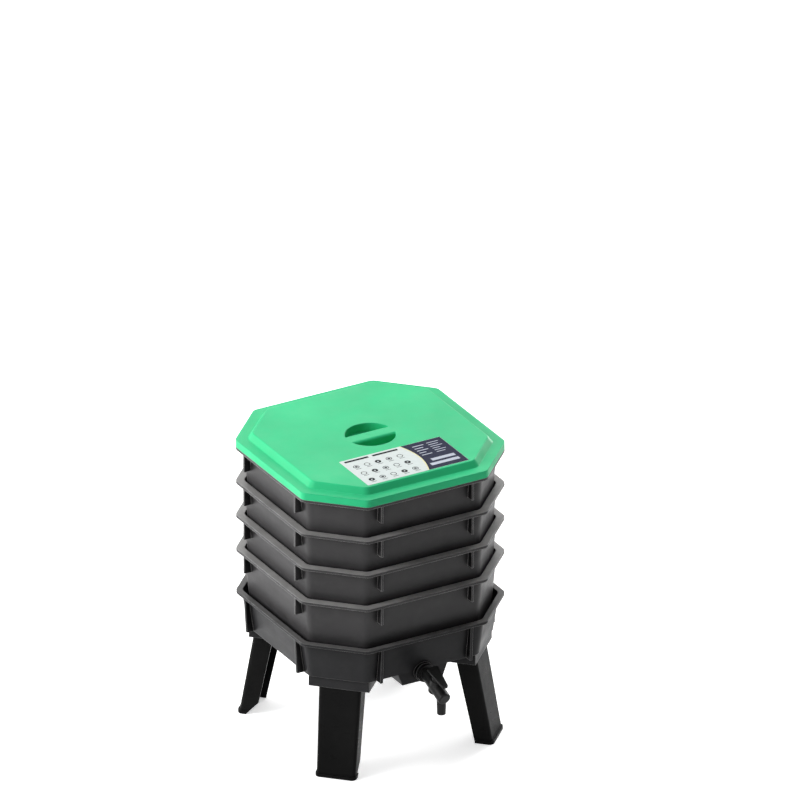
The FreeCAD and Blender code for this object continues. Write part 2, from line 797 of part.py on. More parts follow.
def make_leg(place_name, turn):
    """Splayed channel leg, open to the inside, with a bead round its foot."""
    body = new_body(f"leg_{place_name}")
    foot = new_sketch(body, "leg_foot")
    channel(foot, "@leg_reach", "@leg_foot_width", "@leg_foot_depth", "0")
    head = new_sketch(body, "leg_head", level="@leg_length")
    channel(head, LEG_TOP_REACH, "@leg_top_width", "@leg_top_depth", "0")
    add_loft(body, "shaft", foot, head)
    bead = new_sketch(body, "bead_outline")
    channel(bead, "@leg_reach", "@leg_foot_width", "@leg_foot_depth", "@bead_reach")
    add_pad(body, "bead", bead, "@bead_rise")

    # One flange has its lower free corner cut off
    notch = new_sketch(body, "notch_outline", "XZ_Plane", "(-@leg_top_width)")
    free = "(@leg_reach - @leg_foot_depth)"
    lean = "(@notch_rise * tan(@leg_splay * 1 deg))"
    polygon(
        notch,
        [
            (f"({free} - 2 * {lean})", "(-@bead_rise)"),
            (f"({free} + @notch_width)", "(-@bead_rise)"),
            (f"({free} + @notch_width)", "0"),
            (f"({free} - 2 * {lean})", "@notch_rise"),
        ],
    )
    add_pocket(body, "notch", notch, "(@leg_top_width - @leg_foot_width / 4)", up=True)
    place(body, "0")
    body.Placement = FreeCAD.Placement(
        body.Placement.Base, FreeCAD.Rotation(FreeCAD.Vector(0, 0, 1), turn)
    )
    return body


# Tap. Its pieces have their origin in the middle of the boss's outer face.

TAP_Y = f"({STACK_Y} - @boss_face)"


def make_tap_body():
    """Shank, collar, drooping barrel, valve housing and spout in one moulding."""
    body = new_body("tap_body")
    neck = new_sketch(body, "neck_profile", "YZ_Plane")
    collar_face = "(-@washer_plate - @collar_plate)"
    polygon(
        neck,
        [
            ("@shank_length", "0"),
            ("@shank_length", "@shank_radius"),
            ("(-@washer_plate)", "@shank_radius"),
            ("(-@washer_plate)", "@collar_radius"),
            (collar_face, "@collar_radius"),
            (collar_face, "0"),
        ],
    )
    shank = body.newObject("PartDesign::Revolution", "shank")
    shank.Profile = neck
    shank.ReferenceAxis = (neck, ["H_Axis"])
    shank.Angle = 360
    elbow = body.newObject("PartDesign::AdditiveSphere", "elbow")
    bind(elbow, "Radius", "@barrel_radius")
    bind(elbow, "AttachmentOffset.Base.y", f"(-{ELBOW})")
    elbow.AttachmentSupport = [(origin_part(body, "XY_Plane"), "")]
    elbow.MapMode = "FlatFace"

    barrel_sketch = new_sketch(body, "barrel_outline", "XZ_Plane", ELBOW)
    turn_sketch(barrel_sketch, (1, 0, 0), DROOP)
    circle(barrel_sketch, "@barrel_radius")
    barrel = add_pad(body, "barrel", barrel_sketch, BARREL_LENGTH)
    nose_y = f"(-{ELBOW} - {BARREL_LENGTH} * cos({DROOP}))"
    nose_z = f"(-{BARREL_LENGTH} * sin({DROOP}))"
    add_fillet(
        body,
        "nose_round",
        barrel,
        "@barrel_round",
        lambda edge, middle: near(edge.CenterOfMass.y, nose_y)
        and near(edge.CenterOfMass.z, nose_z),
    )

    # Valve housing across the barrel
    housing = new_sketch(body, "housing_outline", shift=f"(-{ELBOW})")
    turn_sketch(housing, (1, 0, 0), DROOP)
    valve = "(-@valve_place)"
    circle(housing, "@valve_radius", "0", valve)
    add_pad(body, "housing_rise", housing, "@valve_rise")
    fall = new_sketch(body, "housing_foot", shift=f"(-{ELBOW})")
    turn_sketch(fall, (1, 0, 0), DROOP)
    circle(fall, "@valve_radius", "0", valve)
    add_pad(body, "housing_fall", fall, "@valve_fall", down=True)

    # Spout straight down from the barrel, narrowing to its mouth
    spout_y = f"(-{ELBOW} - @spout_place * cos({DROOP}))"
    spout_z = f"(-@spout_place * sin({DROOP}))"
    top = new_sketch(body, "spout_top", level=spout_z)
    circle(top, "@spout_radius", "0", spout_y)
    mouth = new_sketch(body, "spout_foot", level=f"({spout_z} - @spout_drop)")
    circle(mouth, "@spout_mouth", "0", spout_y)
    add_loft(body, "spout", top, mouth)

    # Flow passages and the bore of the plug
    inlet = new_sketch(body, "inlet_outline", "XZ_Plane", "(-@shank_length)")
    circle(inlet, "@flow_radius")
    add_pocket(body, "inlet", inlet, f"(@shank_length + {ELBOW})", up=True)
    passage = new_sketch(body, "passage_outline", "XZ_Plane", ELBOW)
    turn_sketch(passage, (1, 0, 0), DROOP)
    circle(passage, "@flow_radius")
    add_pocket(body, "passage", passage, "@spout_place", up=True)
    outlet = new_sketch(body, "outlet_outline", level=f"({spout_z} - @spout_drop)")
    circle(outlet, "@flow_radius", "0", spout_y)
    add_pocket(body, "outlet", outlet, "@spout_drop", up=True)
    bore = new_sketch(body, "bore_outline", shift=f"(-{ELBOW})")
    turn_sketch(bore, (1, 0, 0), DROOP)
    circle(bore, "(@plug_radius + @plug_gap)", "0", valve)
    add_pocket(body, "bore_rise", bore, "@valve_rise", up=True)
    seat = new_sketch(body, "bore_foot", shift=f"(-{ELBOW})")
    turn_sketch(seat, (1, 0, 0), DROOP)
    circle(seat, "(@plug_radius + @plug_gap)", "0", valve)
    add_pocket(body, "bore_fall", seat, "(@plug_fall + @plug_gap)")
    place(body, TAP_LEVEL, TAP_Y)
    return body


def make_tap_lever():
    """Plug with its port, stem and tapered paddle, in one moulding on the valve's axis."""
    body = new_body("tap_lever")
    plug = new_sketch(body, "plug_outline", level="(-@plug_fall)")
    circle(plug, "@plug_radius")
    add_pad(body, "plug", plug, "(@plug_fall + @valve_rise)")
    stem = new_sketch(body, "stem_outline", level="@valve_rise")
    circle(stem, "@stem_radius")
    add_pad(body, "stem", stem, "@stem_rise")
    paddle_sketch = new_sketch(body, "paddle_outline", level="(@valve_rise + @stem_rise)")
    polygon(
        paddle_sketch,
        [
            ("(-@lever_width / 2)", "@lever_back"),
            ("(-@lever_tip / 2)", "(-@lever_reach)"),
            ("(@lever_tip / 2)", "(-@lever_reach)"),
            ("(@lever_width / 2)", "@lever_back"),
        ],
    )
    paddle = add_pad(body, "paddle", paddle_sketch, "@lever_plate")
    add_fillet(
        body,
        "paddle_round",
        paddle,
        "@lever_round",
        lambda edge, middle: edge.BoundBox.ZLength > size("@lever_plate") / 2
        and middle.z > size("@valve_rise + @stem_rise")
        and (near(middle.y, "@lever_back") or near(middle.y, "-@lever_reach")),
    )
    port = new_sketch(body, "port_outline", "YZ_Plane", "(-@plug_radius)")
    circle(port, "@port_radius")
    add_pocket(body, "port", port, "(2 * @plug_radius)", up=True)
    valve_y = f"({TAP_Y} - {ELBOW} - @valve_place * cos({DROOP}))"
    place(body, f"({TAP_LEVEL} - @valve_place * sin({DROOP}))", valve_y)
    body.Placement = FreeCAD.Placement(
        body.Placement.Base, FreeCAD.Rotation(FreeCAD.Vector(1, 0, 0), 1)
    )
    bind(body, "Placement.Rotation.Angle", DROOP)
    return body


def make_washer(label, back):
    """Sealing washer whose back face lies at a distance behind the boss's outer face."""
    body = new_body(label)
    outline = new_sketch(body, "washer_outline", "XZ_Plane")
    circle(outline, "@washer_radius")
    circle(outline, "(@shank_radius + @tap_gap)")
    add_pad(body, "washer", outline, "@washer_plate")
    place(body, TAP_LEVEL, f"({TAP_Y} + {back})")
    return body


def make_tap_nut():
    """Six-sided lock nut on the shank, against the inner washer."""
    body = new_body("tap_nut")
    outline = new_sketch(body, "nut_outline", "XZ_Plane")
    spots = []
    for corner in range(6):
        angle = f"({60 * corner} deg)"
        spots.append((f"(@nut_radius * cos{angle})", f"(@nut_radius * sin{angle})"))
    polygon(outline, spots)
    circle(outline, "(@shank_radius + @tap_gap)")
    add_pad(body, "nut", outline, "@nut_length")
    back = "(@boss_face - @boss_seat + @washer_plate + @nut_length)"
    place(body, TAP_LEVEL, f"({TAP_Y} + {back})")
    return body


# Build, check and write every piece

pieces = [make_lid(), make_label()]
for tray_number in range(1, TRAY_COUNT + 1):
    pieces.append(make_tray(tray_number))
    pieces.append(make_mesh_floor(tray_number))
pieces.append(make_guide())
pieces.append(make_base())
for leg_place, leg_turn in LEG_TURNS.items():
    pieces.append(make_leg(leg_place, leg_turn))
pieces.append(make_tap_body())
pieces.append(make_tap_lever())
pieces.append(make_tap_nut())
pieces.append(make_washer("tap_washer_inner", "(@boss_face - @boss_seat + @washer_plate)"))
pieces.append(make_washer("tap_washer_outer", "0"))
doc.recompute()

for thing in doc.Objects:
    if "Invalid" in thing.State or "Error" in thing.State:
        raise RuntimeError(f"{thing.Name} of {thing.Label} failed: {thing.State}")
for piece in pieces:
    if piece.Shape.isNull() or not piece.Shape.isValid() or len(piece.Shape.Solids) != 1:
        raise RuntimeError(f"{piece.Label} is not one valid solid")

os.makedirs("parts", exist_ok=True)
for piece in pieces:
    piece.Shape.exportStep(f"parts/{piece.Label}.step")
    print(piece.Label, round(piece.Shape.Volume), piece.Shape.BoundBox)
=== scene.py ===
import math

import bmesh
import bpy
from mathutils import Matrix, Vector


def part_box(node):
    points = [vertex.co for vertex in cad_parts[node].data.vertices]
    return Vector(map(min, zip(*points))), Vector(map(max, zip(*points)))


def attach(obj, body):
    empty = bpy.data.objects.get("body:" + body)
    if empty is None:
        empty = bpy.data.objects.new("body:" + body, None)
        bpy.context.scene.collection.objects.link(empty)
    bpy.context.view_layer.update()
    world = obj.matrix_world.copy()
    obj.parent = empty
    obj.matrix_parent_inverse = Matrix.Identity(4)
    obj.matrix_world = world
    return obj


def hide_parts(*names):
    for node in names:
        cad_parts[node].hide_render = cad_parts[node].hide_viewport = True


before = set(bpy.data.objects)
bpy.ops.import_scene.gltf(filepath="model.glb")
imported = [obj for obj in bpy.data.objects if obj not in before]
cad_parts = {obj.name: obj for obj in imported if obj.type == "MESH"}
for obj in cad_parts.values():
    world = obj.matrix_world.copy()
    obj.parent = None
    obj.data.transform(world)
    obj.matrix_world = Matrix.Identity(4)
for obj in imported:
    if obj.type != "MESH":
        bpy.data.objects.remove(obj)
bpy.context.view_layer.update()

# Stacking worm composter in its closed state, seen from the front left and a little above.
# Metres, in the frame of the model: +Z up, the tap points to -Y.

MM = 0.001

bpy.context.scene.view_settings.view_transform = "Standard"


# Places read from the frame

def middle(node):
    """Middle of a node's box."""
    low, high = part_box(node)
    return (Vector(low) + Vector(high)) / 2


STACK_Y = middle("lid").y
TRAYS = ("tray_1", "tray_2", "tray_3", "tray_4")


# Camera: a long lens from the front left. The image is 800 by 800 pixels.

IMAGE_SIDE = 800
SENSOR = 36.0
CAMERA_AZIMUTH = math.radians(-29.6)
CAMERA_HEIGHT_ANGLE = math.radians(26.5)
CAMERA_DISTANCE = 40.0
PIXELS_PER_METRE = 584.0
AXIS_PIXEL_X = 370.2
AIM_HEIGHT = 0.6164


def make_camera():
    """Aim at the stack's axis, which stands a little left of the middle of the image."""
    right = Vector((math.cos(CAMERA_AZIMUTH), math.sin(CAMERA_AZIMUTH), 0))
    back = Vector((
        math.sin(CAMERA_AZIMUTH) * math.cos(CAMERA_HEIGHT_ANGLE),
        -math.cos(CAMERA_AZIMUTH) * math.cos(CAMERA_HEIGHT_ANGLE),
        math.sin(CAMERA_HEIGHT_ANGLE),
    ))
    sideways = (IMAGE_SIDE / 2 - AXIS_PIXEL_X) / PIXELS_PER_METRE
    target = Vector((0, STACK_Y, AIM_HEIGHT)) + right * sideways
    data = bpy.data.cameras.new("camera")
    data.sensor_width = SENSOR
    data.lens = PIXELS_PER_METRE * CAMERA_DISTANCE * SENSOR / IMAGE_SIDE
    data.clip_start = 0.1
    data.clip_end = 100
    camera = bpy.data.objects.new("camera", data)
    camera.location = target + back * CAMERA_DISTANCE
    camera.rotation_mode = "QUATERNION"
    camera.rotation_quaternion = (-back).to_track_quat("-Z", "Y")
    bpy.context.scene.collection.objects.link(camera)
    bpy.context.scene.camera = camera


make_camera()


# Node tree helpers

def rays_that_show_white(nodes, links):
    """Factor that is 1 for rays that the eye follows: straight, mirrored or through glass."""
    path = nodes.new("ShaderNodeLightPath")
    factor = path.outputs["Is Camera Ray"]
    for kind in ("Is Glossy Ray", "Is Transmission Ray"):
        larger = nodes.new("ShaderNodeMath")
        larger.operation = "MAXIMUM"
        links.new(factor, larger.inputs[0])
        links.new(path.outputs[kind], larger.inputs[1])
        factor = larger.outputs[0]
    return factor


class Surface:
    """A material with its node tree and its main shader."""

    def __init__(self, name, roughness, specular=0.5):
        self.material = bpy.data.materials.new(name)
        self.material.use_nodes = True
        self.nodes = self.material.node_tree.nodes
        self.links = self.material.node_tree.links
        self.shader = self.nodes["Principled BSDF"]
        self.shader.inputs["Roughness"].default_value = roughness
        self.shader.inputs["Specular IOR Level"].default_value = specular
        self.place = self.nodes.new("ShaderNodeTexCoord").outputs["Object"]

    def link(self, source, target):
        """Link an output to an input."""
        self.links.new(source, target)

    def noise(self, scale, detail=3.0, stretch=None):
        """Noise over the object's own coordinates, from 0 to 1."""
        texture = self.nodes.new("ShaderNodeTexNoise")
        texture.inputs["Scale"].default_value = scale
        texture.inputs["Detail"].default_value = detail
        if stretch is None:
            self.link(self.place, texture.inputs["Vector"])
        else:
            mapping = self.nodes.new("ShaderNodeMapping")
            mapping.inputs["Scale"].default_value = stretch
            self.link(self.place, mapping.inputs["Vector"])
            self.link(mapping.outputs["Vector"], texture.inputs["Vector"])
        return texture.outputs["Fac"]

    def remap(self, source, low, high, start=0.3, end=0.7):
        """Map a range of a value onto another range."""
        node = self.nodes.new("ShaderNodeMapRange")
        node.inputs["From Min"].default_value = start
        node.inputs["From Max"].default_value = end
        node.inputs["To Min"].default_value = low
        node.inputs["To Max"].default_value = high
        self.link(source, node.inputs["Value"])
        return node.outputs["Result"]

    def mix(self, factor, first, second):
        """Mix two colours, each a tuple or an output."""
        node = self.nodes.new("ShaderNodeMix")
        node.data_type = "RGBA"
        self.link(factor, node.inputs[0])
        for value, socket in ((first, node.inputs[6]), (second, node.inputs[7])):
            if isinstance(value, tuple):
                socket.default_value = (*value, 1)
            else:
                self.link(value, socket)
        return node.outputs[2]

    def math(self, operation, first, second=None):
        """A math node on outputs or numbers."""
        node = self.nodes.new("ShaderNodeMath")
        node.operation = operation
        for value, socket in zip((first, second), node.inputs):
            if value is None:
                continue
            if isinstance(value, (int, float)):
                socket.default_value = value
            else:
                self.link(value, socket)
        return node.outputs[0]

    def soft_edges(self, radius):
        """Rounded normals and a mask that is 1 on the edges and 0 on the flats."""
        bevel = self.nodes.new("ShaderNodeBevel")
        bevel.samples = 6
        bevel.inputs["Radius"].default_value = radius
        geometry = self.nodes.new("ShaderNodeNewGeometry")
        dot = self.nodes.new("ShaderNodeVectorMath")
        dot.operation = "DOT_PRODUCT"
        self.link(bevel.outputs["Normal"], dot.inputs[0])
        self.link(geometry.outputs["Normal"], dot.inputs[1])
        mask = self.remap(dot.outputs["Value"], 1.0, 0.0, 0.75, 0.995)
        return bevel.outputs["Normal"], mask

    def painted_corner_shade_mask(self, distance, most):
        """Painted shade: a mask that reaches a value in the piece's own inner corners and is 0
        on open faces.
        """
        shelter = self.nodes.new("ShaderNodeAmbientOcclusion")
        shelter.samples = 8
        shelter.only_local = True
        shelter.inputs["Distance"].default_value = distance
        return self.remap(shelter.outputs["AO"], most, 0.0, 0.60, 0.93)

    def up_facing(self, most):
        """Mask that reaches a value on level faces that face up, where top light is painted."""
        geometry = self.nodes.new("ShaderNodeNewGeometry")
        parts = self.nodes.new("ShaderNodeSeparateXYZ")
        self.link(geometry.outputs["Normal"], parts.inputs[0])
        return self.remap(parts.outputs["Z"], 0.0, most, 0.80, 0.98)

    def bump(self, source, distance, normal=None, strength=1.0):
        """Bump from a height source, in metres."""
        node = self.nodes.new("ShaderNodeBump")
        node.inputs["Strength"].default_value = strength
        node.inputs["Distance"].default_value = distance
        self.link(source, node.inputs["Height"])
        if normal is not None:
            self.link(normal, node.inputs["Normal"])
        return node.outputs["Normal"]


CLOUD_SCALE = 6.0
DUST_SCALE = 38.0
STREAK_SCALE = 9.0
STREAK_STRETCH = (1.0, 1.0, 6.0)
WAVE_SCALE = 22.0
WAVE_HEIGHT = 0.6 * MM
GRAIN_SCALE = 2600.0
GRAIN_HEIGHT = 0.04 * MM
# Reach and darkness of the painted shade in inner corners.
CORNER_REACH = 30 * MM
CORNER_SHADE = 0.08
# Pale grey for dust, used also as a painted top light on faces that face up.
DUST_AND_TOP_LIGHT = (0.32, 0.315, 0.31)


def moulded_plastic(
    name, colour, worn_and_edge_highlight, roughness, specular=0.35, edge=0.9 * MM, top_light_and_dust=0.0, rubbed_and_edge_highlight=None,
    painted_corner_shade=0.0
):
    """Injection moulded plastic with fine grain, flow marks, dust, softened edges, and painted
    light and shade.

    worn_and_edge_highlight tints the dusty patches, and the edges too unless
    rubbed_and_edge_highlight gives their colour; the lighter edges are wear and a painted edge
    highlight. top_light_and_dust is how far level faces that face up are painted pale grey, a
    painted top light mottled like dust, and painted_corner_shade how dark the painted shade in
    the inner corners is.
    """
    surface = Surface(name, roughness, specular)
    cloud = surface.noise(CLOUD_SCALE, 4.0)
    dust = surface.noise(DUST_SCALE, 5.0)
    streaks = surface.noise(STREAK_SCALE, 3.0, STREAK_STRETCH)
    normal, mask = surface.soft_edges(edge)
    shade = tuple(value * 0.86 for value in colour)
    light = tuple(min(1.0, value * 1.12 + 0.004) for value in colour)
    body = surface.mix(surface.remap(cloud, 0.0, 1.0), shade, light)
    body = surface.mix(surface.remap(dust, 0.0, 0.07, 0.45, 0.8), body, worn_and_edge_highlight)
    # Painted top light: level faces that face up turn pale grey, mottled like dust.
    if top_light_and_dust > 0:
        top_light_and_dust_share = surface.math(
            "MULTIPLY", surface.up_facing(top_light_and_dust), surface.remap(dust, 0.75, 1.0)
        )
        body = surface.mix(top_light_and_dust_share, body, DUST_AND_TOP_LIGHT)
    # Painted shade: inner corners darkened towards a near-black copy of the colour.
    if painted_corner_shade > 0:
        shadow = tuple(value * CORNER_SHADE for value in colour)
        body = surface.mix(surface.painted_corner_shade_mask(CORNER_REACH, painted_corner_shade), body, shadow)
    # Lighter edges: wear, and a painted edge highlight.
    edge_wear_and_highlight = surface.math("MULTIPLY", mask, surface.remap(dust, 0.35, 0.8))
    surface.link(
        surface.mix(edge_wear_and_highlight, body, rubbed_and_edge_highlight or worn_and_edge_highlight), surface.shader.inputs["Base Color"]
    )
    rough = surface.math(
        "ADD",
        surface.remap(streaks, roughness - 0.05, roughness + 0.05),
        surface.remap(dust, -0.03, 0.06),
    )
    surface.link(rough, surface.shader.inputs["Roughness"])
    waved = surface.bump(surface.noise(WAVE_SCALE, 2.0), WAVE_HEIGHT, normal, 0.35)
    grained = surface.bump(surface.noise(GRAIN_SCALE, 2.0), GRAIN_HEIGHT, waved, 0.8)
    surface.link(grained, surface.shader.inputs["Normal"])
    return surface.material


BLACK = moulded_plastic(
    "black_plastic", (0.024, 0.023, 0.024), (0.12, 0.118, 0.116), 0.40, specular=0.18,
    edge=2.4 * MM, top_light_and_dust=0.9, rubbed_and_edge_highlight=(0.34, 0.338, 0.335), painted_corner_shade=0.95,
)
# The trays' black plastic, painted lighter for the mesh floors: painted light from above.
MESH_BLACK_TOP_LIT = moulded_plastic(
    "mesh_plastic_top_lit", (0.070, 0.069, 0.070), (0.11, 0.108, 0.106), 0.45, specular=0.12
)
GUIDE_BLACK = moulded_plastic(
    "guide_plastic", (0.011, 0.011, 0.011), (0.10, 0.098, 0.096), 0.38, specular=0.06,
    rubbed_and_edge_highlight=(0.30, 0.298, 0.295), painted_corner_shade=0.7,
)
BASE_BLACK = moulded_plastic(
    "base_plastic", (0.016, 0.016, 0.017), (0.07, 0.068, 0.067), 0.36, specular=0.08,
    edge=2.0 * MM, top_light_and_dust=0.32, rubbed_and_edge_highlight=(0.24, 0.238, 0.235), painted_corner_shade=0.95,
)
LEG_BLACK = moulded_plastic(
    "leg_plastic", (0.004, 0.004, 0.004), (0.020, 0.019, 0.018), 0.30, specular=0.03
)
TAP_BLACK = moulded_plastic(
    "tap_plastic", (0.005, 0.005, 0.005), (0.030, 0.030, 0.030), 0.34, specular=0.13
)
GREEN = moulded_plastic(
    "green_plastic", (0.018, 0.41, 0.17), (0.05, 0.52, 0.26), 0.42, specular=0.12,
    edge=2.5 * MM,
)
RUBBER = moulded_plastic("rubber", (0.014, 0.014, 0.014), (0.03, 0.03, 0.03), 0.75)


def dress(node, material):
    """Give a CAD node's slots a material."""
    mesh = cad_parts[node].data
    if not mesh.materials:
        mesh.materials.append(material)
    for index in range(len(mesh.materials)):
        mesh.materials[index] = material


for tray in TRAYS:
    dress(tray, BLACK)
dress("lid", GREEN)
dress("guide_trough", GUIDE_BLACK)
dress("base", BASE_BLACK)
for leg in ("leg_front_left", "leg_front_right", "leg_rear_left", "leg_rear_right"):
    dress(leg, LEG_BLACK)
for piece in ("tap_body", "tap_lever", "tap_nut"):
    dress(piece, TAP_BLACK)
for piece in ("tap_washer_inner", "tap_washer_outer"):
    dress(piece, RUBBER)


# Mesh helpers

def new_piece(name, bm, material, body):
    """Turn mesh data into a piece that rides on a body."""
    mesh = bpy.data.meshes.new(name)
    bmesh.ops.recalc_face_normals(bm, faces=bm.faces[:])
    bm.to_mesh(mesh)
    bm.free()
    mesh.materials.append(material)
    piece = bpy.data.objects.new(name, mesh)
    bpy.context.scene.collection.objects.link(piece)
    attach(piece, body)
    return piece


def settle_order(bm):
    """Sort points and faces by place, because a cut leaves them in no fixed order."""
    def rank(place):
        steps = [round(value / (0.01 * MM)) for value in place]
        return (steps[0] * 1e5 + steps[1]) * 1e5 + steps[2]

    bm.verts.sort(key=lambda vert: rank(vert.co))
    bm.faces.sort(key=lambda face: rank(face.calc_center_median()))


def raise_sheet(bm, thickness):
    """Turn a flat sheet into a closed plate of that thickness."""
    faces = bm.faces[:]
    result = bmesh.ops.extrude_face_region(bm, geom=faces, use_keep_orig=True)
    verts = [item for item in result["geom"] if isinstance(item, bmesh.types.BMVert)]
    bmesh.ops.translate(bm, verts=verts, vec=(0, 0, thickness))


# Fine mesh floors of the trays

MESH_PITCH = 8.0 * MM
MESH_HOLE = 4.4 * MM
MESH_RIM = 4.0 * MM
TRAY_RIM_SIDE = 117 * MM
HALF_CORNER = math.radians(22.5)


def mesh_sheet(half, corner_sum):
    """Flat square grid with a hole in each cell, cut to the octagon of the floor opening."""
    cells = int(round(2 * (half - MESH_RIM) / MESH_PITCH))
    pitch = 2 * (half - MESH_RIM) / cells
    lines = [-half]
    for cell in range(cells):
        start = -half + MESH_RIM + cell * pitch + (pitch - MESH_HOLE) / 2
        lines += [start, start + MESH_HOLE]
    lines.append(half)
    bm = bmesh.new()
    grid = [[bm.verts.new((x, y, 0)) for y in lines] for x in lines]
    for i in range(len(lines) - 1):
        for j in range(len(lines) - 1):
            far_x = max(abs(lines[i]), abs(lines[i + 1]))
            far_y = max(abs(lines[j]), abs(lines[j + 1]))
            is_hole = i % 2 == 1 and j % 2 == 1
            if is_hole and far_x + far_y < corner_sum - MESH_RIM:
                continue
            bm.faces.new((grid[i][j], grid[i + 1][j], grid[i + 1][j + 1], grid[i][j + 1]))
    for sign_x in (-1, 1):
        for sign_y in (-1, 1):
            normal = Vector((sign_x, sign_y, 0)).normalized()
            bmesh.ops.bisect_plane(
                bm,
                geom=bm.verts[:] + bm.edges[:] + bm.faces[:],
                plane_co=normal * corner_sum / math.sqrt(2),
                plane_no=normal,
                clear_outer=True,
            )
    return bm


def make_mesh_floors():
    """One fine floor per tray, in the place of its plain one."""
    rim_half = (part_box("tray_1")[1][0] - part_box("tray_1")[0][0]) / 2
    for tray in TRAYS:
        low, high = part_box(f"{tray}_mesh_floor")
        half = (high[0] - low[0]) / 2
        side = TRAY_RIM_SIDE - (rim_half - half) * math.tan(HALF_CORNER)
        bm = mesh_sheet(half, half + side)
        raise_sheet(bm, high[2] - low[2])
        bmesh.ops.translate(bm, verts=bm.verts[:], vec=(0, STACK_Y, low[2]))
        settle_order(bm)
        floor = new_piece(f"{tray}_fine_floor", bm, MESH_BLACK_TOP_LIT, tray)
        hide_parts(f"{tray}_mesh_floor")


make_mesh_floors()


# Label on the lid: a film with a plain printed pattern

PAPER_ROUGHNESS = 0.45
PAPER_SPECULAR = 0.04
MOTTLE_SCALE = 120.0
RIPPLE_SCALE = 60.0
RIPPLE_HEIGHT = 0.2 * MM


def paper(name, colour):
    """Printed film with a faint mottle."""
    surface = Surface(name, PAPER_ROUGHNESS, PAPER_SPECULAR)
    mottle = surface.noise(MOTTLE_SCALE, 4.0)
    shade = tuple(value * 0.93 for value in colour)
    surface.link(
        surface.mix(surface.remap(mottle, 0.0, 1.0), shade, colour),
        surface.shader.inputs["Base Color"],
    )
    surface.link(
        surface.remap(mottle, PAPER_ROUGHNESS - 0.04, PAPER_ROUGHNESS + 0.06),
        surface.shader.inputs["Roughness"],
    )
    ripple = surface.bump(surface.noise(RIPPLE_SCALE, 2.0), RIPPLE_HEIGHT, None, 0.3)
    surface.link(ripple, surface.shader.inputs["Normal"])
    return surface.material


WHITE_FILM = paper("label_white", (0.55, 0.60, 0.59))
NAVY_INK = paper("label_navy", (0.010, 0.012, 0.034))
CREAM_INK = paper("label_cream", (0.62, 0.60, 0.36))
GREY_INK = paper("label_grey", (0.016, 0.018, 0.020))
PALE_INK = paper("label_pale", (0.42, 0.45, 0.52))


def add_polygon(bm, points, low, high):
    """Closed flat plate through points, between two heights."""
    bottom = [bm.verts.new((x, y, low)) for x, y in points]
    top = [bm.verts.new((x, y, high)) for x, y in points]
    bm.faces.new(list(reversed(bottom)))
    bm.faces.new(top)
    for i in range(len(points)):
        j = (i + 1) % len(points)
        bm.faces.new((bottom[i], bottom[j], top[j], top[i]))


def add_ring(bm, centre, outer, inner, low, high, sides=28):
    """Flat ring, or a disc where the inner radius is 0."""
    angles = [2 * math.pi * step / sides for step in range(sides)]
    circle = [Vector((math.cos(angle), math.sin(angle))) for angle in angles]
    middle_point = Vector(centre)
    if inner <= 0:
        add_polygon(bm, [middle_point + spot * outer for spot in circle], low, high)
        return
    loops = []
    for radius, height in ((outer, low), (outer, high), (inner, high), (inner, low)):
        spots = [middle_point + spot * radius for spot in circle]
        loops.append([bm.verts.new((spot.x, spot.y, height)) for spot in spots])
    for first, second in zip(loops, loops[1:] + loops[:1]):
        for i in range(sides):
            j = (i + 1) % sides
            bm.faces.new((first[i], first[j], second[j], second[i]))


def rounded_rectangle(low, high, radius, steps=6):
    """Points of a rectangle with rounded corners, counterclockwise."""
    points = []
    corners = (
        (high[0] - radius, low[1] + radius, -90),
        (high[0] - radius, high[1] - radius, 0),
        (low[0] + radius, high[1] - radius, 90),
        (low[0] + radius, low[1] + radius, 180),
    )
    for x, y, start in corners:
        for step in range(steps + 1):
            angle = math.radians(start + 90 * step / steps)
            points.append((x + radius * math.cos(angle), y + radius * math.sin(angle)))
    return points


def add_rectangle(bm, start, stop, low, high):
    """Closed flat plate between two opposite corners."""
    points = [start, (stop[0], start[1]), stop, (start[0], stop[1])]
    add_polygon(bm, points, low, high)


LABEL_CORNER = 2 * MM
INK = 0.08 * MM
FIELD_DROP = 0.02 * MM
LABEL_INSET = 0.4 * MM
STRIPE_WIDTH = 2.4 * MM
RING_RADIUS = 5.6 * MM
RING_HOLE = 4.3 * MM
DISC_HOLE = 1.6 * MM
DOT_RADIUS = 2.6 * MM
CAPTION_START = Vector((-5.0 * MM, -9.6 * MM))
CAPTION_SIZE = Vector((10.0 * MM, 1.1 * MM))

# Bars as fractions of the label: start along, start up, end along, rise.
HEADER_BARS = ((0.035, 0.90, 0.27, 0.055), (0.31, 0.90, 0.56, 0.055))
TITLE_BARS = ((0.72, 0.27, 0.95, 0.085), (0.67, 0.12, 0.95, 0.085))
LEFT_LINE_ENDS = (0.80, 0.775, 0.80, 0.755, 0.79)
RIGHT_LINE_ENDS = (0.95, 0.93, 0.95, 0.91, 0.945, 0.92)
FINE_BARS = tuple(
    (0.69, 0.86 - 0.085 * row, end, 0.022) for row, end in enumerate(LEFT_LINE_ENDS)
) + tuple((0.835, 0.88 - 0.072 * row, end, 0.018) for row, end in enumerate(RIGHT_LINE_ENDS))


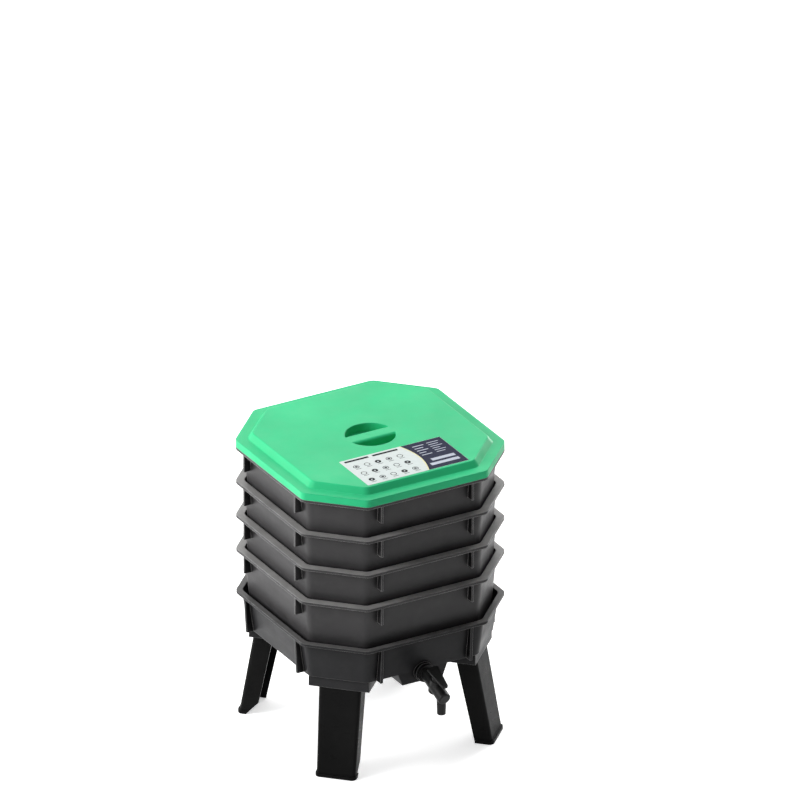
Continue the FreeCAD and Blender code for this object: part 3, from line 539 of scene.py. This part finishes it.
def make_label():
    """Film in the place of the plain label, with plain printed shapes a hair above it."""
    low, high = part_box("lid_label")
    film_top = high[2] - INK
    ink_top = high[2]
    field_top = ink_top - FIELD_DROP
    bm = bmesh.new()
    add_polygon(bm, rounded_rectangle(low, high, LABEL_CORNER), low[2], film_top)
    film = new_piece("label_film", bm, WHITE_FILM, "lid")
    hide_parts("lid_label")

    def spot(along, up):
        """Place on the label from fractions of its length and width."""
        return (low[0] + (high[0] - low[0]) * along, low[1] + (high[1] - low[1]) * up)

    def add_bars(bm, bars):
        """Plain bars of ink."""
        for along, up, end, rise in bars:
            add_rectangle(bm, spot(along, up), spot(end, up + rise), film_top, ink_top)

    def border(up):
        """How far along the label the dark panel begins, at a fraction of its width."""
        return 0.575 + 0.085 * math.sin(math.pi * (0.12 + 0.76 * up))

    bottom, top, right = low[1] + LABEL_INSET, high[1] - LABEL_INSET, high[0] - LABEL_INSET
    edge = [spot(border(step / 20), step / 20) for step in range(21)]
    edge = [(x, min(max(y, bottom), top)) for x, y in edge]
    bm = bmesh.new()
    add_polygon(bm, [(right, bottom), (right, top)] + edge[::-1], film_top, field_top)
    new_piece("label_panel", bm, NAVY_INK, "lid")

    bm = bmesh.new()
    outer_edge = [(x - STRIPE_WIDTH, y) for x, y in reversed(edge)]
    add_polygon(bm, edge + outer_edge, film_top, field_top)
    new_piece("label_stripe", bm, CREAM_INK, "lid")

    bm = bmesh.new()
    add_bars(bm, HEADER_BARS)
    for column in range(5):
        for row in range(3):
            centre = Vector(spot(0.085 + 0.108 * column, 0.17 + 0.265 * row))
            kind = (column + 2 * row) % 3
            hole = DISC_HOLE if kind == 0 else RING_HOLE
            add_ring(bm, centre, RING_RADIUS, hole, film_top, ink_top)
            if kind == 1:
                add_ring(bm, centre, DOT_RADIUS, 0, film_top, ink_top, 16)
            start = centre + CAPTION_START
            add_rectangle(bm, start, start + CAPTION_SIZE, film_top, ink_top)
    new_piece("label_marks", bm, GREY_INK, "lid")

    bm = bmesh.new()
    add_bars(bm, FINE_BARS + TITLE_BARS)
    new_piece("label_lines", bm, PALE_INK, "lid")


make_label()


# Stage: a pale floor, a white world and large soft lamps

FLOOR_HALF = 200
FLOOR_COLOUR = (0.90, 0.90, 0.90, 1)
GLOW_NEAR = 0.50
GLOW_FAR = 0.85
GLOW_START = 0.8
GLOW_END = 5.0
WORLD_LIGHT = 0.22
WHITE = (1, 1, 1, 1)


def make_floor():
    """Wide pale floor that keeps the object's shadow and turns white away from it."""
    bm = bmesh.new()
    bmesh.ops.create_grid(bm, x_segments=1, y_segments=1, size=FLOOR_HALF)
    mesh = bpy.data.meshes.new("floor")
    bm.to_mesh(mesh)
    bm.free()
    surface = Surface("floor", 0.9, 0.0)
    surface.shader.inputs["Base Color"].default_value = FLOOR_COLOUR
    distance = surface.nodes.new("ShaderNodeVectorMath")
    distance.operation = "LENGTH"
    surface.link(surface.place, distance.inputs[0])
    glow = surface.nodes.new("ShaderNodeEmission")
    strength = surface.remap(
        distance.outputs["Value"], GLOW_NEAR, GLOW_FAR, GLOW_START, GLOW_END
    )
    surface.link(strength, glow.inputs["Strength"])
    add = surface.nodes.new("ShaderNodeAddShader")
    mix = surface.nodes.new("ShaderNodeMixShader")
    surface.link(surface.shader.outputs[0], add.inputs[0])
    surface.link(glow.outputs[0], add.inputs[1])
    surface.link(rays_that_show_white(surface.nodes, surface.links), mix.inputs[0])
    surface.link(surface.shader.outputs[0], mix.inputs[1])
    surface.link(add.outputs[0], mix.inputs[2])
    surface.link(mix.outputs[0], surface.nodes["Material Output"].inputs["Surface"])
    mesh.materials.append(surface.material)
    floor = bpy.data.objects.new("floor", mesh)
    bpy.context.scene.collection.objects.link(floor)


def make_world():
    """Even pale world, white where the eye sees it."""
    world = bpy.data.worlds.new("world")
    bpy.context.scene.world = world
    world.use_nodes = True
    nodes, links = world.node_tree.nodes, world.node_tree.links
    light = nodes["Background"]
    light.inputs["Color"].default_value = WHITE
    light.inputs["Strength"].default_value = WORLD_LIGHT
    seen = nodes.new("ShaderNodeBackground")
    seen.inputs["Color"].default_value = WHITE
    seen.inputs["Strength"].default_value = 1.0
    mix = nodes.new("ShaderNodeMixShader")
    links.new(rays_that_show_white(nodes, links), mix.inputs[0])
    links.new(light.outputs[0], mix.inputs[1])
    links.new(seen.outputs[0], mix.inputs[2])
    links.new(mix.outputs[0], nodes["World Output"].inputs["Surface"])


LAMPS = (
    # name, place, size, power
    ("left", (-3.2, 0.4, 1.6), (1.6, 2.4), 130),
    ("front_left", (-1.8, -3.6, 3.4), (2.0, 2.0), 15),
    ("left_back", (-1.9, 2.6, 0.9), (1.6, 1.8), 60),
    ("right_back", (3.0, 1.6, 1.2), (1.2, 2.4), 90),
    ("back", (1.77, 3.11, 2.28), (2.8, 1.8), 32),
    ("top", (0.6, 1.2, 4.2), (2.6, 2.6), 105),
)
LAMP_TARGET = Vector((0, STACK_Y, 0.5))


def make_lamps():
    """Large soft lamps that all point at the middle of the object."""
    for name, place, size, power in LAMPS:
        data = bpy.data.lights.new(name, "AREA")
        data.shape = "RECTANGLE"
        data.size, data.size_y = size
        data.energy = power
        light = bpy.data.objects.new(name, data)
        light.visible_camera = False
        light.location = place
        light.rotation_mode = "QUATERNION"
        light.rotation_quaternion = (LAMP_TARGET - Vector(place)).to_track_quat("-Z", "Y")
        bpy.context.scene.collection.objects.link(light)


make_floor()
make_world()
make_lamps()
